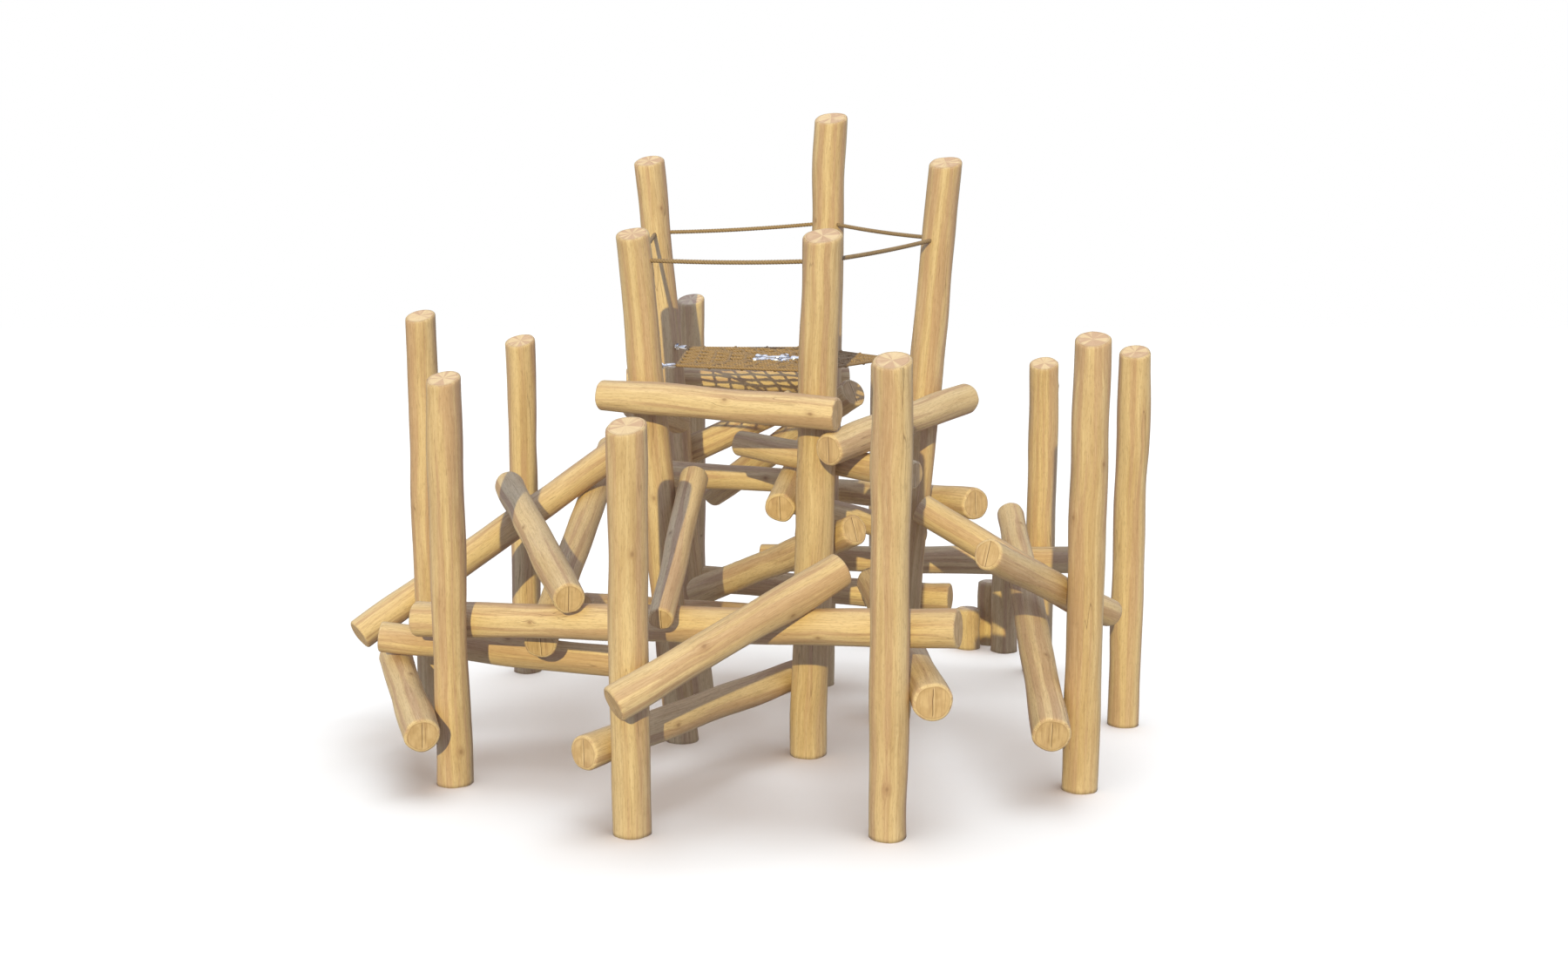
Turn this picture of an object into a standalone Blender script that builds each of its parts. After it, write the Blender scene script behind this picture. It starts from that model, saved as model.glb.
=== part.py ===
"""Robinia climbing structure: a tower of five leaning posts with a rope net, inside a ring of ten upright
posts, with a thicket of slanting logs to climb through. Metres, +Z up, the ground at z = 0."""

import math
import random

import bmesh
import bpy
from mathutils import Vector

# Driving dimensions
TOP_SLOPE = 0.36            # rise per metre of the sawn post tops, which fall towards the front
TOP_SIDE_SLOPE = 0.10       # and a little towards the left
ARRIS = 0.016               # rounded edge around every sawn end
LOG_SIDES = 12
POST_RINGS = 7
LOG_RINGS = 5
WAVE = 0.05                 # how much slimmer a log gets between its thickest places
GAP = 0.004                 # clearance left between members that touch
NET_HEIGHT = 2.25
NET_THICKNESS = 0.016
NET_CORNER_REACH = 0.11     # from a tower post's surface to the net's corner
HUB_RADIUS = 0.085
HUB_TUBE = 0.011
CONNECTOR_RADIUS = 0.013
HOLE_CLEARANCE = 0.0015
HOLE_DEPTH = 0.050
ROPE_RADIUS = 0.012
ROPE_SAG = 0.008
ROPE_POINTS = 9
TOUCH = 0.0005              # gap between pieces that meet face to face

# Ring of upright posts, clockwise seen from above from the front left: place, height and radius
OUTER_POSTS = {
    "outer_post_1": ((-1.83, -1.11), 2.26, 0.098),
    "outer_post_2": ((-2.14, -0.10), 2.52, 0.090),
    "outer_post_3": ((-1.75, 1.20), 2.26, 0.096),
    "outer_post_4": ((-0.66, 2.00), 2.48, 0.096),
    "outer_post_5": ((0.71, 1.98), 2.03, 0.100),
    "outer_post_6": ((1.73, 1.19), 2.11, 0.099),
    "outer_post_7": ((2.09, -0.02), 2.30, 0.097),
    "outer_post_8": ((1.63, -1.21), 2.48, 0.101),
    "outer_post_9": ((0.53, -1.94), 2.44, 0.102),
    "outer_post_10": ((-0.78, -1.89), 2.11, 0.101),
}

# Tower posts lean outwards: foot, top and radius
TOWER_POSTS = {
    "tower_post_1": ((-0.61, -0.33), (-0.85, -0.50, 3.01), 0.099),
    "tower_post_2": ((-0.56, 0.72), (-0.87, 1.06, 3.43), 0.100),
    "tower_post_3": ((0.23, 0.88), (0.30, 1.11, 3.70), 0.105),
    "tower_post_4": ((0.68, 0.12), (0.96, 0.12, 3.41), 0.102),
    "tower_post_5": ((0.14, -0.60), (0.21, -0.90, 3.01), 0.108),
}

# Stepping stumps at the back right: place, height and radius
STUMPS = {
    "step_stump_low": ((1.32, 1.82), 0.29, 0.088),
    "step_stump_middle": ((1.48, 1.94), 0.46, 0.085),
    "step_stump_high": ((1.57, 1.73), 0.64, 0.093),
}

# Logs: where each end lies before the logs are set against each other, and the radius at each end
LOGS = {
    "front_rail_log": ((-2.08, -0.82, 0.86), (0.88, -1.85, 1.07), 0.099, 0.102),
    "tower_front_log": ((-1.03, -0.55, 2.11), (0.29, -1.06, 2.05), 0.091, 0.094),
    "tower_right_log": ((0.23, -1.06, 1.88), (1.10, 0.08, 2.01), 0.091, 0.092),
    "tower_left_log": ((-0.89, -0.18, 2.00), (-0.66, 0.48, 1.82), 0.084, 0.080),
    "tower_back_log": ((-1.04, 1.10, 1.99), (0.43, 1.24, 1.99), 0.092, 0.096),
    "back_prop_log": ((-0.50, 1.54, 1.17), (0.44, 0.48, 2.00), 0.090, 0.094),
    "back_left_brace_log": ((-0.63, 1.06, 1.54), (0.07, 0.91, 1.88), 0.094, 0.088),
    "front_climbing_log": ((-0.85, -2.14, 0.76), (0.30, -1.52, 1.30), 0.092, 0.098),
    "front_low_log": ((-1.02, -1.89, 0.43), (0.08, -0.39, 0.42), 0.092, 0.088),
    "left_low_rail_log": ((-2.33, -0.62, 0.71), (-0.81, -0.58, 0.53), 0.088, 0.092),
    "left_foot_log": ((-1.91, -1.42, 0.37), (-2.30, -0.36, 0.53), 0.102, 0.092),
    "left_rising_log": ((-2.56, -0.17, 0.60), (-0.92, 1.01, 1.67), 0.094, 0.096),
    "left_back_prop_log": ((-1.20, 1.63, 1.48), (-1.34, -0.92, 0.75), 0.096, 0.094),
    "left_front_prop_log": ((-1.74, 0.52, 1.40), (-1.15, -1.30, 1.09), 0.090, 0.092),
    "front_lean_log": ((-0.53, -0.29, 1.59), (-0.64, -1.59, 1.05), 0.082, 0.070),
    "inner_rising_log": ((-0.55, 0.60, 0.69), (0.40, -0.68, 1.35), 0.090, 0.092),
    "right_through_log": ((0.36, 1.25, 1.24), (1.16, 0.01, 1.37), 0.082, 0.098),
    "right_descending_log": ((0.82, -0.09, 1.37), (1.70, -0.55, 0.90), 0.090, 0.088),
    "right_front_log": ((1.06, -1.67, 1.41), (1.89, -0.59, 0.84), 0.084, 0.080),
    "right_long_prop_log": ((1.51, 1.02, 1.12), (1.42, -1.61, 0.43), 0.090, 0.102),
    "inner_high_log": ((-0.27, -0.18, 1.77), (0.72, -0.95, 1.71), 0.078, 0.082),
    "inner_cross_log": ((-0.73, 0.68, 1.45), (0.17, 0.25, 1.47), 0.088, 0.072),
    "inner_short_log": ((-0.02, -0.72, 1.48), (0.17, 0.32, 1.73), 0.088, 0.084),
    "inner_falling_log": ((0.06, 0.00, 1.39), (0.87, 0.33, 1.10), 0.076, 0.078),
    "back_rail_log": ((-0.16, 1.18, 0.79), (1.97, 0.97, 0.82), 0.088, 0.094),
    "right_stub_log": ((0.57, 0.40, 0.72), (1.04, 0.25, 0.73), 0.090, 0.088),
    "inner_low_log": ((-1.18, -0.58, 0.87), (-0.18, 0.40, 0.57), 0.088, 0.088),
    "inner_back_low_log": ((-0.54, 0.96, 0.69), (0.56, 0.61, 0.68), 0.088, 0.088),
    "right_foot_log": ((0.74, -2.02, 0.73), (0.55, 0.13, 0.86), 0.102, 0.092),
}

# Handrail ropes: the tower posts each one joins, and its height there
HANDRAIL_HEIGHT = {
    "tower_post_1": 2.86,
    "tower_post_2": 2.97,
    "tower_post_3": 3.03,
    "tower_post_4": 2.96,
    "tower_post_5": 2.87,
}

LIT_WOOD = (0.62, 0.40, 0.18, 1.0)
ROPE_BROWN = (0.30, 0.20, 0.11, 1.0)
STEEL = (0.62, 0.63, 0.65, 1.0)


def clear_scene():
    for obj in list(bpy.data.objects):
        bpy.data.objects.remove(obj, do_unlink=True)


def material(name, colour, roughness, metallic=0.0):
    mat = bpy.data.materials.new(name)
    mat.use_nodes = True
    shader = mat.node_tree.nodes["Principled BSDF"]
    shader.inputs["Base Color"].default_value = colour
    shader.inputs["Roughness"].default_value = roughness
    shader.inputs["Metallic"].default_value = metallic
    return mat


def add_object(name, bm, mat):
    """Turns a bmesh into a named object with outward faces, smooth around its round sides."""
    bmesh.ops.recalc_face_normals(bm, faces=bm.faces)
    mesh = bpy.data.meshes.new(name)
    bm.to_mesh(mesh)
    bm.free()
    mesh.shade_smooth()
    mesh.set_sharp_from_angle(angle=math.radians(40))
    mesh.materials.append(mat)
    obj = bpy.data.objects.new(name, mesh)
    bpy.context.scene.collection.objects.link(obj)
    return obj


def loft(rings):
    """Joins rings of points into one closed body with flat ends."""
    bm = bmesh.new()
    rows = [[bm.verts.new(point) for point in ring] for ring in rings]
    sides = len(rows[0])
    for low, high in zip(rows, rows[1:]):
        for i in range(sides):
            j = (i + 1) % sides
            bm.faces.new((low[i], low[j], high[j], high[i]))
    bm.faces.new(list(reversed(rows[0])))
    bm.faces.new(rows[-1])
    return bm


def wave_profile(name, count):
    """Radius factors along a member: 1 where it is thickest, less between, different for each name."""
    rng = random.Random(name)
    phase = rng.uniform(0.0, math.tau)
    cycles = rng.uniform(1.2, 2.0)
    steps = [i / (count - 1) for i in range(count)]
    return [1.0 - WAVE * 0.5 * (1.0 + math.sin(phase + math.tau * cycles * s)) for s in steps]


def upright(name, foot, top, radius, mat, sloped_top=True):
    """A post or stump: level rings from a flat foot to a sawn top with a rounded edge."""
    foot = Vector((foot[0], foot[1], 0.0))
    top = Vector(top)
    slope = (TOP_SIDE_SLOPE, TOP_SLOPE) if sloped_top else (0.0, 0.0)
    last_level = top.z - radius * math.hypot(*slope) - ARRIS * 2.0
    factors = wave_profile(name, POST_RINGS)
    stations = [(i / (POST_RINGS - 1) * last_level, factors[i], False) for i in range(POST_RINGS)]
    stations += [(top.z - ARRIS, factors[-1], True), (top.z, factors[-1] - ARRIS / radius, True)]
    rings = []
    for height, factor, sloped in stations:
        centre = foot.lerp(top, height / top.z)
        ring = []
        for i in range(LOG_SIDES):
            angle = math.tau * i / LOG_SIDES
            dx = radius * factor * math.cos(angle)
            dy = radius * factor * math.sin(angle)
            dz = slope[0] * dx + slope[1] * dy if sloped else 0.0
            ring.append((centre.x + dx, centre.y + dy, height + dz))
        rings.append(ring)
    return add_object(name, loft(rings), mat)


def across(axis):
    """Two directions square to an axis."""
    side = axis.cross(Vector((0.0, 0.0, 1.0)))
    side = side.normalized() if side.length > 0.1 else Vector((1.0, 0.0, 0.0))
    return side, axis.cross(side).normalized()


def log(name, start, end, radii, mat):
    """A lying log: rings square to its axis, thinning from one end to the other, with rounded ends."""
    axis = (end - start).normalized()
    length = (end - start).length
    side, up = across(axis)
    factors = wave_profile(name, LOG_RINGS)
    inner = length - 2.0 * ARRIS
    stations = [(0.0, factors[0], ARRIS)]
    stations += [(ARRIS + inner * i / (LOG_RINGS - 1), factors[i], 0.0) for i in range(LOG_RINGS)]
    stations += [(length, factors[-1], ARRIS)]
    rings = []
    for along, factor, inset in stations:
        radius = factor * (radii[0] + (radii[1] - radii[0]) * along / length) - inset
        centre = start + axis * along
        turn = [math.tau * i / LOG_SIDES for i in range(LOG_SIDES)]
        rings.append([centre + (side * math.cos(a) + up * math.sin(a)) * radius for a in turn])
    return add_object(name, loft(rings), mat)


def nearest(a, b):
    """The nearest points of two members' axes, as fractions along each and the vector between them."""
    along_a = a["end"] - a["start"]
    along_b = b["end"] - b["start"]
    offset = a["start"] - b["start"]
    aa, ab, bb = along_a.dot(along_a), along_a.dot(along_b), along_b.dot(along_b)
    ao, bo = along_a.dot(offset), along_b.dot(offset)
    spread = aa * bb - ab * ab
    s = min(max((ab * bo - bb * ao) / spread, 0.0), 1.0)
    t = min(max((ab * s + bo) / bb, 0.0), 1.0)
    s = min(max((ab * t - ao) / aa, 0.0), 1.0)
    return s, t, (a["start"] + along_a * s) - (b["start"] + along_b * t)


def shift(member, fraction, move):
    """Moves a log so that the point at a fraction of its length moves by the given vector."""
    near_start = 1.0 - fraction
    weight = near_start ** 2 + fraction ** 2
    member["start"] += move * (near_start / weight)
    member["end"] += move * (fraction / weight)


def settle(logs, posts):
    """Pushes logs that would run into a post or into each other apart until they just touch."""
    names = list(logs)
    for _ in range(60):
        for i, name in enumerate(names):
            item = logs[name]
            for post in posts.values():
                s, t, between = nearest(item, post)
                need = max(item["radii"]) + post["radii"][0] + GAP
                if between.length < need:
                    shift(item, s, between.normalized() * (need - between.length))
            for other_name in names[i + 1:]:
                other = logs[other_name]
                s, t, between = nearest(item, other)
                need = max(item["radii"]) + max(other["radii"]) + GAP
                if between.length < need:
                    half = between.normalized() * (need - between.length) * 0.5
                    shift(item, s, half)
                    shift(other, t, -half)


def on_post(name, height):
    """The point on a tower post's axis at a height."""
    foot, top, _ = TOWER_POSTS[name]
    return Vector((foot[0], foot[1], 0.0)).lerp(Vector(top), height / top[2])


def rope_path(start, end, sag):
    """Points along a rope that hangs a little between its two ends."""
    points = []
    for i in range(ROPE_POINTS):
        s = i / (ROPE_POINTS - 1)
        points.append(start.lerp(end, s) - Vector((0.0, 0.0, 4.0 * sag * s * (1.0 - s))))
    return points


def rod(start, end, radius, sides=10):
    axis = (end - start).normalized()
    side, up = across(axis)
    rings = []
    for centre in (start, end):
        turn = [math.tau * i / sides for i in range(sides)]
        rings.append([centre + (side * math.cos(a) + up * math.sin(a)) * radius for a in turn])
    return loft(rings)


def drill(post, start, end, radius):
    """Cuts a blind hole with a rod that runs from inside a post to well outside it."""
    cutter = add_object(post.name + "_drill", rod(start, end, radius), post.data.materials[0])
    cutter.hide_render = True
    cutter.display_type = "WIRE"
    cut = post.modifiers.new("hole", "BOOLEAN")
    cut.operation = "DIFFERENCE"
    cut.object = cutter


def rope(name, points, mat):
    curve = bpy.data.curves.new(name, "CURVE")
    curve.dimensions = "3D"
    curve.bevel_depth = ROPE_RADIUS
    curve.bevel_resolution = 2
    curve.use_fill_caps = True
    spline = curve.splines.new("POLY")
    spline.points.add(len(points) - 1)
    for point, place in zip(spline.points, points):
        point.co = (*place, 1.0)
    curve.materials.append(mat)
    obj = bpy.data.objects.new(name, curve)
    bpy.context.scene.collection.objects.link(obj)


def build_handrail(posts, mat):
    """Five ropes, each running straight out of a hole in one post and sagging to a hole in the next."""
    names = list(TOWER_POSTS)
    for i, name in enumerate(names):
        other = names[(i + 1) % len(names)]
        a, b = (on_post(n, HANDRAIL_HEIGHT[n]) for n in (name, other))
        way = (b - a).normalized()
        points = rope_path(a + way * TOWER_POSTS[name][2], b - way * TOWER_POSTS[other][2], ROPE_SAG)
        ends = []
        for n, mouth, after in ((name, points[0], points[1]), (other, points[-1], points[-2])):
            out = (after - mouth).normalized()
            bottom = mouth - out * HOLE_DEPTH
            drill(posts[n], bottom, mouth + out * HOLE_DEPTH, ROPE_RADIUS + HOLE_CLEARANCE)
            ends.append(bottom + out * TOUCH)
        rope(f"handrail_rope_{i + 1}", [ends[0], *points, ends[1]], mat)


def build_net(posts, rope_mat, steel_mat):
    """The net as one flat five-sided sheet with the hub ring in its middle, and its corner connectors."""
    axes = {name: on_post(name, NET_HEIGHT) for name in TOWER_POSTS}
    middle = sum(axes.values(), Vector()) / len(axes)
    corners = []
    for i, (name, centre) in enumerate(axes.items()):
        direction = (middle - centre).normalized()
        surface = centre + direction * TOWER_POSTS[name][2]
        bottom = surface - direction * HOLE_DEPTH
        corner = surface + direction * NET_CORNER_REACH
        corners.append(corner)
        drill(posts[name], bottom, surface + direction * HOLE_DEPTH, CONNECTOR_RADIUS + HOLE_CLEARANCE)
        inner = corner - direction * (CONNECTOR_RADIUS * 0.5)
        body = rod(bottom + direction * TOUCH, inner, CONNECTOR_RADIUS)
        add_object(f"net_connector_{i + 1}", body, steel_mat)
    corners = [corner + (middle - corner).normalized() * CONNECTOR_RADIUS for corner in corners]
    hole = [middle + Vector((math.cos(a), math.sin(a), 0.0)) * (HUB_RADIUS + HUB_TUBE + TOUCH)
            for a in (math.tau * i / (4 * len(corners)) for i in range(4 * len(corners)))]
    build_sheet("rope_net", corners, hole, middle, rope_mat)
    build_ring("net_hub_ring", middle, steel_mat)


def build_sheet(name, corners, hole, middle, mat):
    """A flat sheet between an outline of five corners and a round hole, thickened evenly."""
    outline = []
    per_side = len(hole) // len(corners)
    for a, b in zip(corners, corners[1:] + corners[:1]):
        outline += [a.lerp(b, i / per_side) for i in range(per_side)]
    start = min(range(len(hole)), key=lambda i: (hole[i] - middle).angle(outline[0] - middle))
    turns = 1 if (corners[1] - middle).cross(corners[0] - middle).z < 0.0 else -1
    hole = [hole[(start + turns * i) % len(hole)] for i in range(len(hole))]
    bm = bmesh.new()
    layers = []
    for height in (-NET_THICKNESS / 2.0, NET_THICKNESS / 2.0):
        lift = Vector((0.0, 0.0, height))
        layers.append([[bm.verts.new(p + lift) for p in loop] for loop in (outline, hole)])
    (low_out, low_in), (high_out, high_in) = layers
    count = len(outline)
    for i in range(count):
        j = (i + 1) % count
        bm.faces.new((low_out[i], low_out[j], low_in[j], low_in[i]))
        bm.faces.new((high_out[i], high_in[i], high_in[j], high_out[j]))
        bm.faces.new((low_out[i], high_out[i], high_out[j], low_out[j]))
        bm.faces.new((low_in[i], low_in[j], high_in[j], high_in[i]))
    add_object(name, bm, mat)


def build_ring(name, centre, mat, around=20, section=8):
    bm = bmesh.new()
    rows = []
    for i in range(around):
        a = math.tau * i / around
        out = Vector((math.cos(a), math.sin(a), 0.0))
        turn = [math.tau * k / section for k in range(section)]
        row = [centre + out * (HUB_RADIUS + HUB_TUBE * math.cos(b)) + Vector((0, 0, HUB_TUBE * math.sin(b)))
               for b in turn]
        rows.append([bm.verts.new(point) for point in row])
    for i in range(around):
        for k in range(section):
            j, m = (i + 1) % around, (k + 1) % section
            bm.faces.new((rows[i][k], rows[j][k], rows[j][m], rows[i][m]))
    add_object(name, bm, mat)


def member(start, end, radii):
    return {"start": Vector(start), "end": Vector(end), "radii": radii}


def centre_on_ground():
    """Moves everything sideways until the middle of its outline stands over the origin."""
    objects = [obj for obj in bpy.data.objects if not obj.hide_render]
    bpy.context.view_layer.update()
    corners = [obj.matrix_world @ Vector(corner) for obj in objects for corner in obj.bound_box]
    middle = [(min(c[i] for c in corners) + max(c[i] for c in corners)) / 2.0 for i in (0, 1)]
    for obj in bpy.data.objects:
        obj.location.x -= middle[0]
        obj.location.y -= middle[1]


def main():
    clear_scene()
    wood = material("robinia_wood", LIT_WOOD, 0.7)
    rope_fibre = material("rope_fibre", ROPE_BROWN, 0.9)
    steel = material("steel", STEEL, 0.3, 1.0)

    fixed = {}
    for name, (place, height, radius) in {**OUTER_POSTS, **STUMPS}.items():
        top = (place[0], place[1], height)
        upright(name, place, top, radius, wood, sloped_top=name in OUTER_POSTS)
        fixed[name] = member((*place, 0.0), top, (radius, radius))
    towers = {}
    for name, (foot, top, radius) in TOWER_POSTS.items():
        towers[name] = upright(name, foot, top, radius, wood)
        fixed[name] = member((*foot, 0.0), top, (radius, radius))

    logs = {name: member(start, end, (r1, r2)) for name, (start, end, r1, r2) in LOGS.items()}
    settle(logs, fixed)
    for name, item in logs.items():
        log(name, item["start"], item["end"], item["radii"], wood)

    build_handrail(towers, rope_fibre)
    build_net(towers, rope_fibre, steel)
    centre_on_ground()


main()
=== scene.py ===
"""The look of the climbing structure: debarked logs with grain, knots and drying cracks, twisted ropes, a web
of net rope and bright steel fittings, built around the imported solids. Metres, +Z up."""

import math
import random

import bpy
import numpy as np
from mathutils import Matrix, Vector, noise


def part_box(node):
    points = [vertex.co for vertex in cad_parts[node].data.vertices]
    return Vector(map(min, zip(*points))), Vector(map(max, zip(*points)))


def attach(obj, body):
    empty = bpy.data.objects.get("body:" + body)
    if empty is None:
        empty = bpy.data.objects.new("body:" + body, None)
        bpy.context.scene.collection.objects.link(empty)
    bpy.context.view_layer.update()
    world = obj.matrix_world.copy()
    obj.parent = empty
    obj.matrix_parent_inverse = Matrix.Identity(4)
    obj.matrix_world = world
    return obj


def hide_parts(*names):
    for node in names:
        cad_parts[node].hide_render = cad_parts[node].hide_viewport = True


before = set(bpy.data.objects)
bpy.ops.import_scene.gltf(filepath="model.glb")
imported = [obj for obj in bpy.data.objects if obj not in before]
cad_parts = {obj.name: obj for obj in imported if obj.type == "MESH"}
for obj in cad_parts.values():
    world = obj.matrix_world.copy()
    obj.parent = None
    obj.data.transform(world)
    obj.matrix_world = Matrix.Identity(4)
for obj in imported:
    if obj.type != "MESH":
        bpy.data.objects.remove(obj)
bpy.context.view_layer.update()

# Where the photograph was taken from, measured from the foot of the front right post; degrees and millimetres
CAMERA_FROM_FRONT_POST = Vector((-0.53, -8.69, 3.30))
CAMERA_PITCH = 9.8
CAMERA_LENS = 41.0
SENSOR_WIDTH = 36.0

# A low sun from behind the camera, a soft sky, and a lamp that lights only the floor; degrees
SUN_ELEVATION = 22.0
SUN_AZIMUTH = 6.4
SUN_SPREAD = 0.6
SUN_COLOUR = (1.0, 0.84, 0.34)
SUN_STRENGTH = 2.80
SKY_HEIGHTS = (-0.25, 0.25)     # where the sky changes over, as the upward part of the direction looked in
SKY_BELOW = (0.24, 0.23, 0.24)
SKY_ABOVE = (0.62, 0.71, 0.94)
MIRRORED_HEIGHTS = (0.15, 0.75)
MIRRORED_BELOW = (0.12, 0.15, 0.24)
MIRRORED_ABOVE = (0.95, 1.00, 1.15)
FLOOR_LIGHT_TOWARDS = Vector((-0.12, -0.05, -1.0))
FLOOR_LIGHT_COLOUR = (0.46, 0.65, 1.0)
FLOOR_LIGHT_STRENGTH = 4.3
FLOOR_LIGHT_SPREAD = 55.0
FLOOR_SIZE = 60.0

# Wood
SOLID_SIDES = 12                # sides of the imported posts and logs
AROUND = 40                     # corners around a visible one
STEP = 0.022                    # between its rings
BEND = 0.012                    # how far its middle line strays
BULGE = 0.10                    # share by which its radius varies
FULLER = 1.015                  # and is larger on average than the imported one
FINE_BULGE = 0.012
FLUTES = 0.007                  # depth of the shallow lobes around it
EDGE_ROUND = 0.013
CAP_RINGS = (0.94, 0.72, 0.45, 0.2)
SLOPE_REACH = 0.35              # length over which rings tilt towards a slanted end
FOOT_REACH = 0.25               # length over which a post's bends fade towards its foot
KNOT_SPACING = 0.25
KNOTS_PER_METRE = 0.8
KNOT_RISE = 0.004               # height of the swelling over a knot
KNOT_SPREAD = 0.02              # and its width
KNOT_REACH = 0.06               # how far the grain flows around a knot
END_CLEAR = 0.12                # length at each end without knots

# Rope and net
ROPE_SIDES = 15
ROPE_STEP = 0.005
ROPE_LAY = 0.055                # length in which a strand goes once around
ROPE_FULLER = 1.08
ROPE_EASING = 12
NET_ROPE_RADIUS = 0.0085
NET_EDGE_RADIUS = 0.0095
NET_CELL = 0.097
NET_WEAVE = 0.0035              # how far a net rope goes over and under the others
NET_KNOT = 1.45                 # how much thicker it is at a splice
NET_SAG = 0.012

# Fittings. A connector: (share of the length, share of the radius). A hub sleeve: (distance, radius).
CONNECTOR_PROFILE = ((0.0, 0.8), (0.36, 0.8), (0.365, 1.5), (0.40, 1.6), (0.43, 1.5),
                     (0.44, 0.85), (0.60, 0.85), (0.61, 1.05), (0.98, 1.1), (1.0, 0.95))
SLEEVE_PROFILE = ((0.0, 0.010), (0.004, 0.016), (0.010, 0.019), (0.034, 0.019), (0.040, 0.0165),
                  (0.074, 0.0160), (0.079, 0.0185), (0.094, 0.0185), (0.099, 0.014), (0.104, 0.0105))
TURNED_SIDES = 28
RING_AROUND, RING_SECTION = 64, 16


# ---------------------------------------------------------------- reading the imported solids

def corner_points(node):
    """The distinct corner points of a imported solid."""
    points = np.array([v.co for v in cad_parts[node].data.vertices], float)
    return np.unique(np.round(points, 5), axis=0)


def groups_along(points, axis, gap):
    """Splits points into groups wherever neighbours along the axis are further apart than the gap."""
    places = points @ np.array(axis)
    order = np.argsort(places)
    cuts = np.nonzero(np.diff(places[order]) > gap)[0] + 1
    return [points[part] for part in np.split(order, cuts)]


def long_axis(points):
    """The direction in which points spread most."""
    spread = points - points.mean(axis=0)
    return np.linalg.svd(spread, full_matrices=False)[2][0]


def ring_chain(node):
    """Centres and radii of the rings that a straight log or a rope was made of, end to end."""
    points = corner_points(node)
    chain = []
    for ring in groups_along(points, long_axis(points), 0.005):
        centre = ring.mean(axis=0)
        chain.append((Vector(centre), float(np.linalg.norm(ring - centre, axis=1).mean())))
    return chain


def level_chain(node):
    """Centres and radii of a post's level rings, from the foot up."""
    chain = []
    for ring in groups_along(corner_points(node), (0.0, 0.0, 1.0), 0.0003):
        if len(ring) >= SOLID_SIDES and np.ptp(ring[:, 2]) < 0.0005:
            low, high = ring.min(axis=0), ring.max(axis=0)
            chain.append((Vector((low + high) / 2.0), float((high - low)[:2].mean() / 2.0)))
    return chain


def top_plane(node, last_level):
    """Height at the axis and the slopes of a post's sawn top, as (height, rise per x, rise per y)."""
    points = corner_points(node)
    above = points[points[:, 2] > last_level + 0.001]
    if len(above) < SOLID_SIDES:
        return float(points[:, 2].max()), 0.0, 0.0
    centre = above[:, :2].mean(axis=0)
    distance = np.linalg.norm(above[:, :2] - centre, axis=1)
    rim = above[np.argsort(distance)[:SOLID_SIDES]]
    table = np.c_[np.ones(len(rim)), rim[:, :2] - centre]
    return tuple(float(v) for v in np.linalg.lstsq(table, rim[:, 2], rcond=None)[0])


# ---------------------------------------------------------------- wood: shape

def smooth_noise(*place):
    """Noise between -1 and 1 that changes over a distance of about 1."""
    return noise.noise(Vector(place))


class Grown:
    """How one piece of wood differs from a straight round pole."""

    def __init__(self, name, length):
        self.random = random.Random(name)
        self.seed = self.random.uniform(0.0, 90.0)
        self.lobes = self.random.choice((3, 4, 5))
        self.knots = []
        for _ in range(int(length * KNOTS_PER_METRE * 3)):
            place = self.random.uniform(END_CLEAR, max(END_CLEAR + 0.01, length - END_CLEAR))
            if len(self.knots) < length * KNOTS_PER_METRE:
                if all(abs(place - other[0]) > KNOT_SPACING for other in self.knots):
                    self.knots.append((place, self.random.uniform(0.0, math.tau)))

    def sideways(self, along):
        """How far the middle line strays, square to the axis."""
        x = 0.4 * smooth_noise(along * 0.9, self.seed, 1.5) + 0.6 * smooth_noise(along * 2.7, self.seed, 8.5)
        y = 0.4 * smooth_noise(along * 0.9, self.seed, 4.5) + 0.6 * smooth_noise(along * 2.7, self.seed, 11.5)
        return x * BEND, y * BEND

    def swell(self, angle, along):
        """How the radius varies around and along the wood, as a factor."""
        x, y = math.cos(angle), math.sin(angle)
        wide = smooth_noise(along * 2.6, self.seed + 20.0, 0.5)
        uneven = smooth_noise(x * 1.3 + self.seed, y * 1.3, along * 2.3)
        fine = smooth_noise(x * 2.6 + self.seed, y * 2.6, along * 5.0)
        turn = self.lobes * angle + along * 0.8 + self.seed
        return FULLER + BULGE * (0.4 * wide + 0.6 * uneven) + FINE_BULGE * fine + FLUTES * math.sin(turn)

    def knot_offset(self, angle, along, radius):
        """The way from the nearest knot to a place on the surface, and how close it is, from 0 to 1."""
        best = None
        for place, knot_angle in self.knots:
            away = along - place
            if abs(away) < KNOT_REACH * 2.0:
                x = radius * (math.cos(angle) - math.cos(knot_angle))
                y = radius * (math.sin(angle) - math.sin(knot_angle))
                distance = math.sqrt(x * x + y * y + away * away)
                if best is None or distance < best[3]:
                    best = (x, y, away, distance)
        if best is None:
            return (1.0, 1.0, 1.0), 0.0
        near = max(0.0, 1.0 - best[3] / (KNOT_REACH * 1.4))
        return best[:3], near


def value_along(chain, along):
    """Centre and radius at a distance along a chain of rings, eased between them."""
    for (place_a, centre_a, radius_a), (place_b, centre_b, radius_b) in zip(chain, chain[1:]):
        if along <= place_b:
            break
    share = min(max((along - place_a) / (place_b - place_a), 0.0), 1.0)
    eased = share * share * (3.0 - 2.0 * share)
    return centre_a.lerp(centre_b, share), radius_a + (radius_b - radius_a) * eased


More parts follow.
